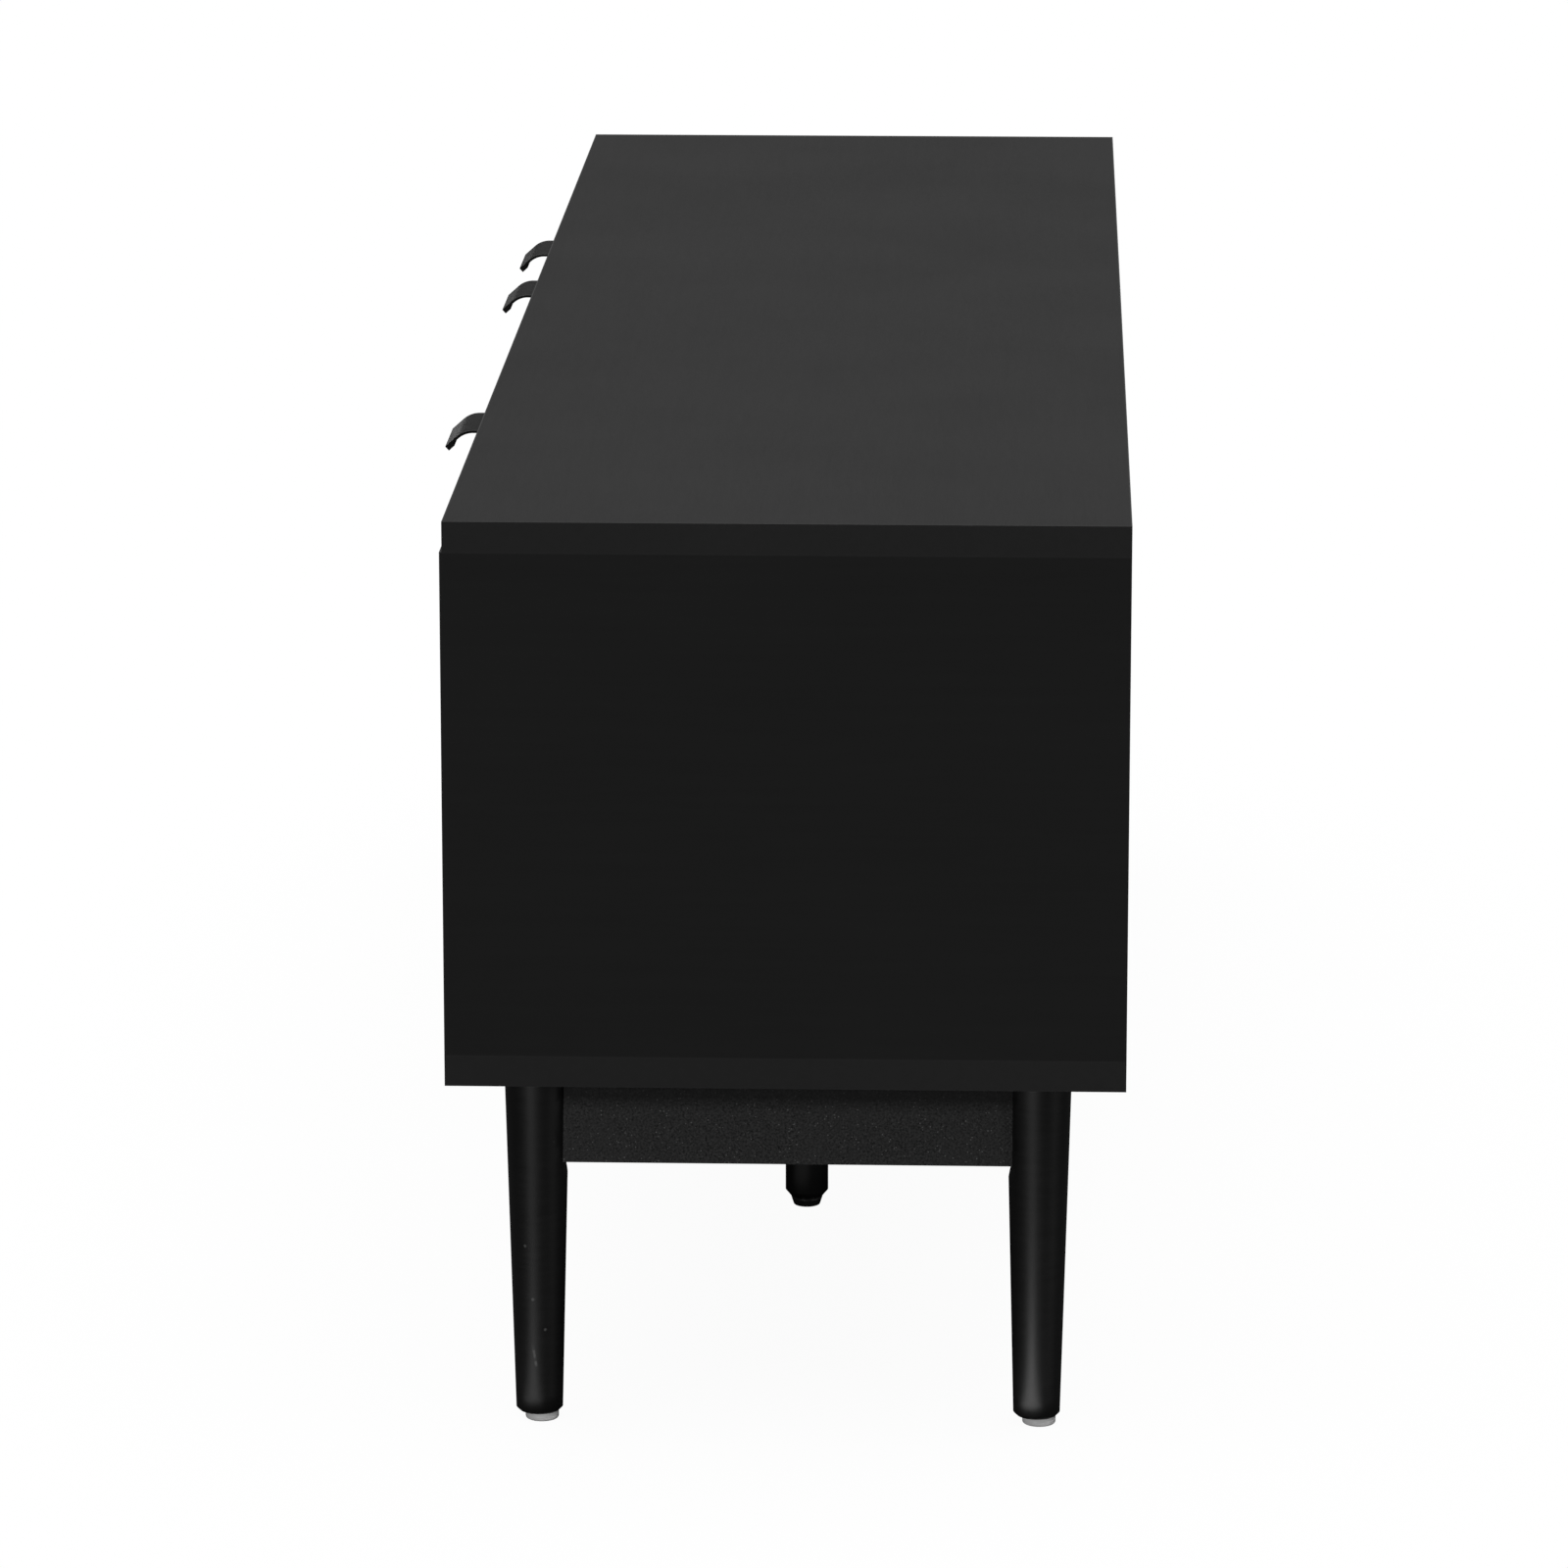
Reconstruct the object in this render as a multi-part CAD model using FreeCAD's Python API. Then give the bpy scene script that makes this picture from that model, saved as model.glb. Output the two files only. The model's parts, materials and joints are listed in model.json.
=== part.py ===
import FreeCAD, Part
import math
import os

# Low three-bay cabinet on a leg base: two drawers in the right bay, and a hinged door with a
# shelf behind it in the middle bay and in the left bay.
# Millimetres. X runs along the length, -Y is the front, +Z is up, and Z = 0 is the floor.
# The origin is on the floor, midway along the length and midway from pull tips to back.

# --- driving dimensions ------------------------------------------------------------------------
length = 1500.0
depth = 400.0
body_height = 338.0
floor_gap = 220.0
board = 18.0
pull_reach = 27.0
bay_count = 3

# --- carcass -----------------------------------------------------------------------------------
top_setback = 1.5
back_thick = 3.0
rabbet = 6.0
shelf_thick = 15.0
shelf_setback = 36.0
shelf_side_gap = 1.0
shelf_back_gap = 1.0
stop_gap = 1.0

# --- doors and drawer fronts -------------------------------------------------------------------
front_thick = 18.0
side_gap = 2.0
bottom_gap = 2.0
pull_gap = 3.5
meeting_gap = 3.0
pull_from_bay_line = 86.0

# --- pulls: bent sheet steel with a folded hem at the tip --------------------------------------
pull_width = 60.0
pull_sheet = 1.8
pull_bend_radius = 16.0
pull_bend_deg = 42.0
pull_tip_length = 9.5
pull_hem_length = 5.0
pull_flange = 14.0
pull_screw_spacing = 36.0

# --- door pivots -------------------------------------------------------------------------------
pivot_from_edge = 8.0
pivot_from_face = 5.0
pin_radius = 2.5
pin_clearance = 0.05
pin_in_door = 14.0
pin_in_bush = 8.0
collar_radius = 4.5
collar_thick = 1.0
bush_radius = 4.0
bush_flange_radius = 4.9
bush_flange_thick = 0.7
bush_depth = 10.0
bush_bottom = 1.0

# --- magnetic catches --------------------------------------------------------------------------
catch_from_bay_line = 26.0
catch_width = 30.0
catch_depth = 16.0
catch_height = 11.0
catch_round = 1.5
strike_height = 14.0
strike_thick = 0.8
strike_drop = 1.0

# --- drawers -----------------------------------------------------------------------------------
drawer_count = 2
drawer_wall = 12.0
drawer_side_height = 110.0
drawer_side_lift = 12.0
drawer_length = 350.0
drawer_base = 5.0
drawer_base_lift = 10.0
drawer_groove = 5.0

# --- ball-bearing runners ----------------------------------------------------------------------
runner_space = 12.7
runner_sheet = 1.2
runner_height = 35.0
runner_inner_height = 24.0
runner_lip = 10.5
runner_inner_lip = 9.7
runner_start = 2.0
cage_length = 110.0
cage_start = 122.0
cage_sheet = 0.8
cage_lip = 8.0
cage_gap = 0.3
ball_from_web = 4.96
ball_radius = 1.85
ball_pitch = 11.0

# --- legs and supports -------------------------------------------------------------------------
leg_inset_x = 50.0
leg_inset_y = 51.0
leg_top_radius = 19.5
leg_foot_radius = 14.0
leg_chamfer = 2.0
leg_flat = 15.5
leg_flat_height = 58.0
leg_flat_runout = 16.0
glide_radius = 10.0
glide_height = 5.5
glide_round = 1.5
glide_shift = 1.5
apron_thick = 18.0
support_inset_y = 197.0
support_radius = 14.0
support_neck_radius = 10.3
support_chamfer = 4.5
foot_height = 5.5
foot_radius = 10.3
foot_pad_radius = 8.5
foot_round = 1.0
foot_gap = 0.5
foot_stud_radius = 4.0
foot_stud_length = 30.0

# --- flat-pack fittings ------------------------------------------------------------------------
fitting_inset = 55.0
dowel_inset = 95.0
cam_radius = 7.5
cam_depth = 12.5
cam_distance = 24.0
cam_slot_depth = 1.5
cam_slot_reach = 5.0
cam_slot_half = 0.8
cam_bolt_radius = 3.0
cam_bolt_anchor = 11.0
dowel_radius = 4.0
dowel_half = 15.0
dowel_in_slab = 11.0
shelf_pin_radius = 2.5
shelf_pin_depth = 8.0
shelf_pin_reach = 8.0
shelf_collar_radius = 3.5
shelf_collar_thick = 0.8
shelf_hole_pitch = 32.0
shelf_pin_inset = 60.0
nail_head_radius = 2.6
nail_head_thick = 0.6
nail_radius = 0.8
nail_length = 15.0
nail_pitch = 150.0
screw_radius = 1.6
screw_length = 13.0
screw_head_radius = 3.4
screw_head_thick = 1.8
screw_head_round = 0.8
screw_slot_depth = 0.8
screw_slot_reach = 2.0
screw_slot_half = 0.5
hanger_radius = 4.0
hanger_in_leg = 32.0
insert_radius = 6.5
insert_depth = 14.0
leg_dowel_rise = 16.0
dowel_in_leg = 9.0
dowel_in_apron = 21.0

# --- places worked out from them ---------------------------------------------------------------
half = length / 2
front_y = pull_reach / 2 - depth / 2
back_y = front_y + depth
face_y = front_y + top_setback
rear_of_front_y = face_y + front_thick
under_z = floor_gap
base_z = floor_gap + board
roof_z = floor_gap + body_height - board
top_z = floor_gap + body_height
inner_x = half - board
bay_line = length / bay_count / 2
back_face_y = back_y - back_thick
fronts_bottom_z = base_z + bottom_gap
fronts_top_z = roof_z - pull_gap
pivot_y = face_y + pivot_from_face
pull_x = bay_line + pull_from_bay_line
partition_y = rear_of_front_y + stop_gap
shelf_z = (base_z + roof_z - shelf_thick) / 2
pin_z = shelf_z - shelf_pin_radius
left_door_x = (-inner_x + side_gap, -bay_line - meeting_gap / 2)
middle_door_x = (-bay_line + meeting_gap / 2, bay_line - board / 2 - side_gap)
drawer_x = (bay_line + board / 2 + side_gap, inner_x - side_gap)
left_pivot_x = left_door_x[0] + pivot_from_edge
middle_pivot_x = middle_door_x[1] - pivot_from_edge
drawer_height = (fronts_top_z - fronts_bottom_z - pull_gap * (drawer_count - 1)) / drawer_count
box_x = (bay_line + board / 2 + runner_space, inner_x - runner_space)
box_back_y = rear_of_front_y + drawer_length
leg_x = half - leg_inset_x
leg_front_y = front_y + leg_inset_y
leg_rear_y = back_y - leg_inset_y
support_y = front_y + support_inset_y
fitting_ys = (front_y + fitting_inset, back_y - fitting_inset)
dowel_ys = (front_y + dowel_inset, back_y - dowel_inset)
upright_xs = (-half + board / 2, -bay_line, bay_line, half - board / 2)


# --- helpers -----------------------------------------------------------------------------------
def vec(x, y, z):
    return FreeCAD.Vector(x, y, z)


def block(x0, x1, y0, y1, z0, z1):
    return Part.makeBox(x1 - x0, y1 - y0, z1 - z0, vec(x0, y0, z0))


def rod(radius, start, end):
    along = end - start
    return Part.makeCylinder(radius, along.Length, start, along)


def cone(radius_start, radius_end, start, end):
    along = end - start
    return Part.makeCone(radius_start, radius_end, along.Length, start, along)


def joined(shapes):
    whole = shapes[0]
    if len(shapes) > 1:
        whole = whole.fuse(shapes[1:])
    return whole.removeSplitter()


def less(shape, tools):
    return shape.cut(tools) if tools else shape


def group(shapes):
    return Part.makeCompound(shapes)


def save(name, shape):
    shape.exportStep("parts/" + name + ".step")


def eased(shape, radius, chosen):
    """Rounds the edges of shape for which chosen(edge) is true."""
    edges = [edge for edge in shape.Edges if chosen(edge)]
    return shape.makeFillet(radius, edges)


# --- joinery that is drilled into the panels ---------------------------------------------------
def cam_bolt_rods():
    """Steel bolts from the top and the bottom panel into the four uprights."""
    rods = []
    for x in upright_xs:
        for y in fitting_ys:
            rods.append(rod(cam_bolt_radius, vec(x, y, roof_z - cam_distance),
                            vec(x, y, roof_z + cam_bolt_anchor)))
            rods.append(rod(cam_bolt_radius, vec(x, y, base_z - cam_bolt_anchor),
                            vec(x, y, base_z + cam_distance)))
    return rods


def cam_places():
    """Face, outward side, y and z of each cam, let into the face of an upright that looks into a bay."""
    places = []
    for x, side in zip(upright_xs, (1, -1, 1, -1)):
        for y in fitting_ys:
            for z in (roof_z - cam_distance, base_z + cam_distance):
                places.append((x + side * board / 2, side, y, z))
    return places


def cam_cylinder(face, side, y, z):
    return rod(cam_radius, vec(face - side * cam_depth, y, z), vec(face, y, z))


def cam_holes():
    return [cam_cylinder(*place) for place in cam_places()]


def dowel_rods():
    """Beech dowels beside the cam bolts."""
    rods = []
    for x in upright_xs:
        for y in dowel_ys:
            rods.append(rod(dowel_radius, vec(x, y, roof_z - 2 * dowel_half + dowel_in_slab),
                            vec(x, y, roof_z + dowel_in_slab)))
            rods.append(rod(dowel_radius, vec(x, y, base_z - dowel_in_slab),
                            vec(x, y, base_z + 2 * dowel_half - dowel_in_slab)))
    return rods


def shelf_holes(x_face, side):
    """Three rows of shelf pin holes in the face at x_face, drilled towards side."""
    holes = []
    for y in (front_y + shelf_setback + shelf_pin_inset, back_face_y - shelf_pin_inset):
        for step in (-1, 0, 1):
            z = pin_z + step * shelf_hole_pitch
            holes.append(rod(shelf_pin_radius, vec(x_face, y, z),
                             vec(x_face + side * shelf_pin_depth, y, z)))
    return holes


def pivots():
    """Axis x of each door's pivot pins."""
    return (left_pivot_x, middle_pivot_x)


def bush_holes():
    holes = []
    for x in pivots():
        holes.append(rod(bush_radius, vec(x, pivot_y, roof_z), vec(x, pivot_y, roof_z + bush_depth)))
        holes.append(rod(bush_radius, vec(x, pivot_y, base_z - bush_depth), vec(x, pivot_y, base_z)))
    return holes


def leg_places():
    return [(sx * leg_x, y) for sx in (-1, 1) for y in (leg_front_y, leg_rear_y)]


def insert_holes():
    top = under_z + insert_depth
    return [rod(insert_radius, vec(x, y, under_z), vec(x, y, top)) for x, y in leg_places()]


def back_panel_block():
    """The back panel's outline, which is also the rabbet it lies in."""
    reach = inner_x + rabbet
    return block(-reach, reach, back_face_y, back_y, base_z - rabbet, roof_z + rabbet)


def nail_places():
    """X and z of the nails round the edge of the back panel and up the two partitions."""
    edge_x = inner_x + rabbet / 2
    count = int(length // nail_pitch)
    places = []
    for i in range(count + 1):
        x = -edge_x + 2 * edge_x * i / count
        places.append((x, base_z - rabbet / 2))
        places.append((x, roof_z + rabbet / 2))
    for x in (-edge_x, -bay_line, bay_line, edge_x):
        places.append((x, base_z + body_height / 4))
        places.append((x, roof_z - body_height / 4))
    return places


def nail(x, z):
    shank = rod(nail_radius, vec(x, back_y - nail_length, z), vec(x, back_y, z))
    head = rod(nail_head_radius, vec(x, back_y - nail_head_thick, z), vec(x, back_y, z))
    return joined([shank, head])


def nails():
    return [nail(x, z) for x, z in nail_places()]


# --- carcass -----------------------------------------------------------------------------------
def top_panel():
    slab = block(-half, half, face_y, back_y, roof_z, top_z)
    return less(slab, cam_bolt_rods() + dowel_rods() + bush_holes() + nails() + [back_panel_block()])


def bottom_panel():
    slab = block(-half, half, front_y, back_y, under_z, base_z)
    slab = less(slab, cam_bolt_rods() + dowel_rods() + bush_holes() + insert_holes())
    return less(slab, nails() + [back_panel_block()])


def upright(index, y0, y1):
    x = upright_xs[index]
    panel = block(x - board / 2, x + board / 2, y0, y1, base_z, roof_z)
    return less(panel, cam_bolt_rods() + cam_holes() + dowel_rods() + nails())


def left_end_panel():
    panel = upright(0, front_y, back_y)
    return less(panel, shelf_holes(-inner_x, -1) + [back_panel_block()])


def left_partition():
    panel = upright(1, partition_y, back_face_y)
    left_face = -bay_line - board / 2
    right_face = -bay_line + board / 2
    return less(panel, shelf_holes(left_face, 1) + shelf_holes(right_face, -1))


def right_partition():
    panel = upright(2, face_y, back_face_y)
    return less(panel, shelf_holes(bay_line - board / 2, 1))


def right_end_panel():
    return less(upright(3, front_y, back_y), [back_panel_block()])


def back_panel():
    return less(back_panel_block(), nails())


def shelf(x0, x1):
    return block(x0 + shelf_side_gap, x1 - shelf_side_gap,
                 front_y + shelf_setback, back_face_y - shelf_back_gap,
                 shelf_z, shelf_z + shelf_thick)


def shelf_pins():
    """Steel pins under both shelves, pushed into the middle row of holes."""
    faces = (
        (-inner_x, 1),
        (-bay_line - board / 2, -1),
        (-bay_line + board / 2, 1),
        (bay_line - board / 2, -1),
    )
    pins = []
    for y in (front_y + shelf_setback + shelf_pin_inset, back_face_y - shelf_pin_inset):
        for face, side in faces:
            pin = rod(shelf_pin_radius, vec(face - side * shelf_pin_depth, y, pin_z),
                      vec(face + side * shelf_pin_reach, y, pin_z))
            collar = rod(shelf_collar_radius, vec(face, y, pin_z),
                         vec(face + side * shelf_collar_thick, y, pin_z))
            flat = block(-half, half, y - board, y + board, shelf_z, shelf_z + shelf_thick)
            pins.append(joined([pin, collar]).cut(flat))
    return group(pins)


def cam_bolts():
    return group(cam_bolt_rods())


def cam_locks():
    """Round cams with a cross slot in the face, drawn tight on the ends of the bolts."""
    cams = []
    for face, side, y, z in cam_places():
        x0, x1 = sorted((face - side * cam_slot_depth, face))
        slot = block(x0, x1, y - cam_slot_reach, y + cam_slot_reach,
                     z - cam_slot_half, z + cam_slot_half)
        cross = block(x0, x1, y - cam_slot_half, y + cam_slot_half,
                      z - cam_slot_reach, z + cam_slot_reach)
        cams.append(cam_cylinder(face, side, y, z).cut(cam_bolt_rods() + [slot, cross]))
    return group(cams)


def carcass_dowels():
    return group(dowel_rods())


# --- leg base ----------------------------------------------------------------------------------
def leg(x, y, inward):
    """Round tapered leg. Its side towards the apron is flat at the top, and the flat runs out in a slope."""
    foot = vec(x, y, glide_height)
    taper_start = foot + vec(0, 0, leg_chamfer)
    body = joined([
        cone(leg_foot_radius - leg_chamfer, leg_foot_radius, foot, taper_start),
        cone(leg_foot_radius, leg_top_radius, taper_start, vec(x, y, under_z)),
    ])
    flat_z = under_z - leg_flat_height
    outline = [
        vec(x - leg_top_radius, y + inward * leg_flat, under_z),
        vec(x - leg_top_radius, y + inward * leg_flat, flat_z),
        vec(x - leg_top_radius, y + inward * leg_top_radius, flat_z - leg_flat_runout),
        vec(x - leg_top_radius, y + inward * leg_top_radius * 2, flat_z - leg_flat_runout),
        vec(x - leg_top_radius, y + inward * leg_top_radius * 2, under_z),
    ]
    cutter = Part.Face(Part.makePolygon(outline + [outline[0]])).extrude(vec(2 * leg_top_radius, 0, 0))
    hanger = rod(hanger_radius, vec(x, y, under_z - hanger_in_leg), vec(x, y, under_z))
    return less(body, [cutter, hanger] + apron_dowel_rods())


def apron_dowel_rods():
    rods = []
    for x in (-leg_x, leg_x):
        for y, inward in ((leg_front_y, 1), (leg_rear_y, -1)):
            butt = y + inward * leg_flat
            for rise in (leg_dowel_rise, leg_flat_height - leg_dowel_rise):
                z = under_z - rise
                y0, y1 = sorted((butt - inward * dowel_in_leg, butt + inward * dowel_in_apron))
                rods.append(rod(dowel_radius, vec(x, y0, z), vec(x, y1, z)))
    return rods


def apron(side):
    x = side * leg_x
    rail = block(x - apron_thick / 2, x + apron_thick / 2, leg_front_y + leg_flat, leg_rear_y - leg_flat,
                 under_z - leg_flat_height, under_z)
    return less(rail, apron_dowel_rods())


def leg_hanger_bolts():
    """Studs that screw the legs up into the bottom panel's inserts."""
    return group([rod(hanger_radius, vec(x, y, under_z - hanger_in_leg), vec(x, y, under_z + insert_depth))
                  for x, y in leg_places()])


def leg_inserts():
    """Threaded steel sleeves in the bottom panel."""
    sleeves = []
    for x, y in leg_places():
        sleeve = rod(insert_radius, vec(x, y, under_z), vec(x, y, under_z + insert_depth))
        bore = rod(hanger_radius, vec(x, y, under_z), vec(x, y, under_z + insert_depth))
        sleeves.append(sleeve.cut(bore))
    return group(sleeves)


def leg_glides():
    """Pale plastic pads under the four legs, round at the rim and set a little towards the back."""
    pads = []
    for x, leg_y in leg_places():
        y = leg_y + glide_shift
        pad = rod(glide_radius, vec(x, y, 0), vec(x, y, glide_height))
        pads.append(eased(pad, glide_round, lambda edge: edge.BoundBox.ZMax < 0.1))
    return group(pads)


def support_stud(x, y, radius):
    return rod(radius, vec(x, y, foot_height), vec(x, y, foot_height + foot_stud_length))


def centre_support(x, y):
    """Straight round support under a partition, narrowed at its foot, with a bore for the foot's stud."""
    neck_z = foot_height + foot_gap
    post = joined([
        cone(support_neck_radius, support_radius, vec(x, y, neck_z), vec(x, y, neck_z + support_chamfer)),
        rod(support_radius, vec(x, y, neck_z + support_chamfer), vec(x, y, under_z)),
    ])
    return post.cut(support_stud(x, y, foot_stud_radius + pin_clearance))


def support_foot(x, y):
    """Levelling foot: a round pad, narrower at the floor, on a stud."""
    pad = cone(foot_pad_radius, foot_radius, vec(x, y, 0), vec(x, y, foot_height))
    rim = eased(pad, foot_round, lambda edge: edge.BoundBox.ZMax < 0.1)
    return joined([rim, support_stud(x, y, foot_stud_radius)])


# --- pulls -------------------------------------------------------------------------------------
def pull_section(z):
    """Side outline of a pull whose plate lies on a front's top edge at height z."""
    bend = math.radians(pull_bend_deg)
    tip_run = pull_tip_length * math.cos(bend)
    outer = pull_bend_radius
    inner = pull_bend_radius - pull_sheet
    bend_y = front_y - pull_reach + tip_run + outer * math.sin(bend)
    top = z + pull_sheet

    def on_arc(radius, angle):
        return vec(0, bend_y - radius * math.sin(angle), top - outer + radius * math.cos(angle))

    def beyond(point, distance):
        return point + vec(0, -math.cos(bend), -math.sin(bend)) * distance

    back = rear_of_front_y + pull_sheet
    outer_end = on_arc(outer, bend)
    inner_end = on_arc(inner, bend)
    hem_in = on_arc(inner - pull_sheet, bend)
    outer_tip = beyond(outer_end, pull_tip_length)
    hem_tip = beyond(hem_in, pull_tip_length)
    hem_back = beyond(hem_in, pull_tip_length - pull_hem_length)
    hem_root = beyond(inner_end, pull_tip_length - pull_hem_length)
    edges = [
        Part.makeLine(vec(0, back, top), vec(0, bend_y, top)),
        Part.Arc(vec(0, bend_y, top), on_arc(outer, bend / 2), outer_end).toShape(),
        Part.makeLine(outer_end, outer_tip),
        Part.makeLine(outer_tip, hem_tip),
        Part.makeLine(hem_tip, hem_back),
        Part.makeLine(hem_back, hem_root),
        Part.makeLine(hem_root, inner_end),
        Part.Arc(inner_end, on_arc(inner, bend / 2), vec(0, bend_y, z)).toShape(),
        Part.makeLine(vec(0, bend_y, z), vec(0, rear_of_front_y, z)),
        Part.makeLine(vec(0, rear_of_front_y, z), vec(0, rear_of_front_y, z - pull_flange)),
        Part.makeLine(vec(0, rear_of_front_y, z - pull_flange), vec(0, back, z - pull_flange)),
        Part.makeLine(vec(0, back, z - pull_flange), vec(0, back, top)),
    ]
    return Part.Face(Part.Wire(edges))


def pull_screw_places(x, z):
    return [(x + side * pull_screw_spacing / 2, z - pull_flange / 2) for side in (-1, 1)]


def screw_shank(x, z):
    return rod(screw_radius, vec(x, rear_of_front_y - screw_length, z),
               vec(x, rear_of_front_y + pull_sheet, z))


def pull(x, z):
    section = pull_section(z)
    section.translate(vec(x - pull_width / 2, 0, 0))
    plate = section.extrude(vec(pull_width, 0, 0))
    return less(plate, [screw_shank(sx, sz) for sx, sz in pull_screw_places(x, z)])


def pull_screws(x, z):
    screws = []
    seat = rear_of_front_y + pull_sheet
    y1 = seat + screw_head_thick
    y0 = y1 - screw_slot_depth
    for sx, sz in pull_screw_places(x, z):
        head = rod(screw_head_radius, vec(sx, seat, sz), vec(sx, y1, sz))
        head = eased(head, screw_head_round, lambda edge: edge.BoundBox.YMin > y1 - 0.1)
        slot = block(sx - screw_slot_half, sx + screw_slot_half, y0, y1,
                     sz - screw_slot_reach, sz + screw_slot_reach)
        cross = block(sx - screw_slot_reach, sx + screw_slot_reach, y0, y1,
                      sz - screw_slot_half, sz + screw_slot_half)
        screws.append(joined([screw_shank(sx, sz), head]).cut([slot, cross]))
    return group(screws)


def front_screw_holes(x, z):
    return [rod(screw_radius, vec(sx, rear_of_front_y - screw_length, sz), vec(sx, rear_of_front_y, sz))
            for sx, sz in pull_screw_places(x, z)]


# --- doors -------------------------------------------------------------------------------------
def pivot_pin(x, door_z, up):
    """Steel pin with a collar, pressed into the door's edge at door_z; up is 1 at the top and -1 below."""
    gap = pull_gap if up > 0 else bottom_gap
    inner_end = door_z - up * pin_in_door
    outer_end = door_z + up * (gap + pin_in_bush)
    pin = rod(pin_radius, vec(x, pivot_y, inner_end), vec(x, pivot_y, outer_end))
    collar = rod(collar_radius, vec(x, pivot_y, door_z), vec(x, pivot_y, door_z + up * collar_thick))
    return joined([pin, collar])


def pivot_pins(x):
    return group([pivot_pin(x, fronts_top_z, 1), pivot_pin(x, fronts_bottom_z, -1)])


def door(x_range, pivot_x, handle_x):
    x0, x1 = x_range
    panel = block(x0, x1, face_y, rear_of_front_y, fronts_bottom_z, fronts_top_z)
    holes = [
        rod(pin_radius, vec(pivot_x, pivot_y, fronts_top_z - pin_in_door),
            vec(pivot_x, pivot_y, fronts_top_z)),
        rod(pin_radius, vec(pivot_x, pivot_y, fronts_bottom_z),
            vec(pivot_x, pivot_y, fronts_bottom_z + pin_in_door)),
    ]
    return less(panel, holes + front_screw_holes(handle_x, fronts_top_z))


def hinge_bushes():
    """Flanged plastic bushes that the pivot pins turn in, let into the top and the bottom panel."""
    bushes = []
    for x in pivots():
        for z, up in ((roof_z, 1), (base_z, -1)):
            barrel = rod(bush_radius, vec(x, pivot_y, z), vec(x, pivot_y, z + up * bush_depth))
            flange = rod(bush_flange_radius, vec(x, pivot_y, z - up * bush_flange_thick), vec(x, pivot_y, z))
            bore = rod(pin_radius + pin_clearance, vec(x, pivot_y, z - up * bush_flange_thick),
                       vec(x, pivot_y, z + up * (bush_depth - bush_bottom)))
            bushes.append(joined([barrel, flange]).cut(bore))
    return group(bushes)


def catch_xs():
    return (-bay_line - catch_from_bay_line, -bay_line + catch_from_bay_line)


def magnetic_catches():
    """Magnet cases under the top panel, one for each door's free edge."""
    cases = []
    for x in catch_xs():
        y0 = rear_of_front_y + stop_gap
        case = block(x - catch_width / 2, x + catch_width / 2, y0, y0 + catch_depth,
                     roof_z - catch_height, roof_z)
        cases.append(eased(case, catch_round, lambda edge: abs(edge.tangentAt(edge.FirstParameter).z) > 0.9))
    return group(cases)


def strike_plate(x):
    """Thin steel plate on the door's back that the magnet holds."""
    return block(x - catch_width / 2, x + catch_width / 2, rear_of_front_y, rear_of_front_y + strike_thick,
                 fronts_top_z - strike_height, fronts_top_z - strike_drop)


# --- drawers -----------------------------------------------------------------------------------
def drawer_z(level):
    """Bottom of the drawer front at level 0, the lower one, or 1, the upper one."""
    return fronts_bottom_z + level * (drawer_height + pull_gap)


def runner_z(level):
    return drawer_z(level) + drawer_side_lift + drawer_side_height / 2


def drawer_base_block(level):
    z0 = drawer_z(level) + drawer_side_lift + drawer_base_lift
    return block(box_x[0] + drawer_wall - drawer_groove, box_x[1] - drawer_wall + drawer_groove,
                 rear_of_front_y - drawer_groove, box_back_y - drawer_wall + drawer_groove,
                 z0, z0 + drawer_base)


def drawer_front(level):
    z0 = drawer_z(level)
    panel = block(drawer_x[0], drawer_x[1], face_y, rear_of_front_y, z0, z0 + drawer_height)
    return less(panel, [drawer_base_block(level)] + front_screw_holes(pull_x, z0 + drawer_height))


def drawer_side(level, side):
    x0 = box_x[0] if side < 0 else box_x[1] - drawer_wall
    z0 = drawer_z(level) + drawer_side_lift
    wall = block(x0, x0 + drawer_wall, rear_of_front_y, box_back_y, z0, z0 + drawer_side_height)
    return less(wall, [drawer_base_block(level)])


def drawer_back(level):
    z0 = drawer_z(level) + drawer_side_lift
    wall = block(box_x[0] + drawer_wall, box_x[1] - drawer_wall, box_back_y - drawer_wall, box_back_y,
                 z0, z0 + drawer_side_height)
    return less(wall, [drawer_base_block(level)])


def channel(web_x, side, sheet, lip, height, y0, y1, z):
    """C-shaped strip: its web stands at web_x and its lips point towards side."""
    x0, x1 = sorted((web_x, web_x + side * lip))
    w0, w1 = sorted((web_x, web_x + side * sheet))
    lower = z - height / 2
    upper = z + height / 2
    return joined([
        block(w0, w1, y0, y1, lower, upper),
        block(x0, x1, y0, y1, upper - sheet, upper),
        block(x0, x1, y0, y1, lower, lower + sheet),
    ])


def runner_sides():
    """Wall face and direction into the bay for both runners of a drawer."""
    return ((bay_line + board / 2, 1), (inner_x, -1))


def runner_rails():
    """Outer members, on the right partition and on the right end panel."""
    rails = []
    y0 = rear_of_front_y + runner_start
    for level in range(drawer_count):
        for wall_x, side in runner_sides():
            rails.append(channel(wall_x, side, runner_sheet, runner_lip, runner_height,
                                 y0, y0 + drawer_length, runner_z(level)))
    return group(rails)


def runner_slides(level):
    """Inner members, on both sides of a drawer box."""
    y0 = rear_of_front_y + runner_start
    slides = []
    for wall_x, side in runner_sides():
        web_x = wall_x + side * runner_space
        slides.append(channel(web_x, -side, runner_sheet, runner_inner_lip, runner_inner_height,
                              y0, y0 + drawer_length - runner_start, runner_z(level)))
    return group(slides)


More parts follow.
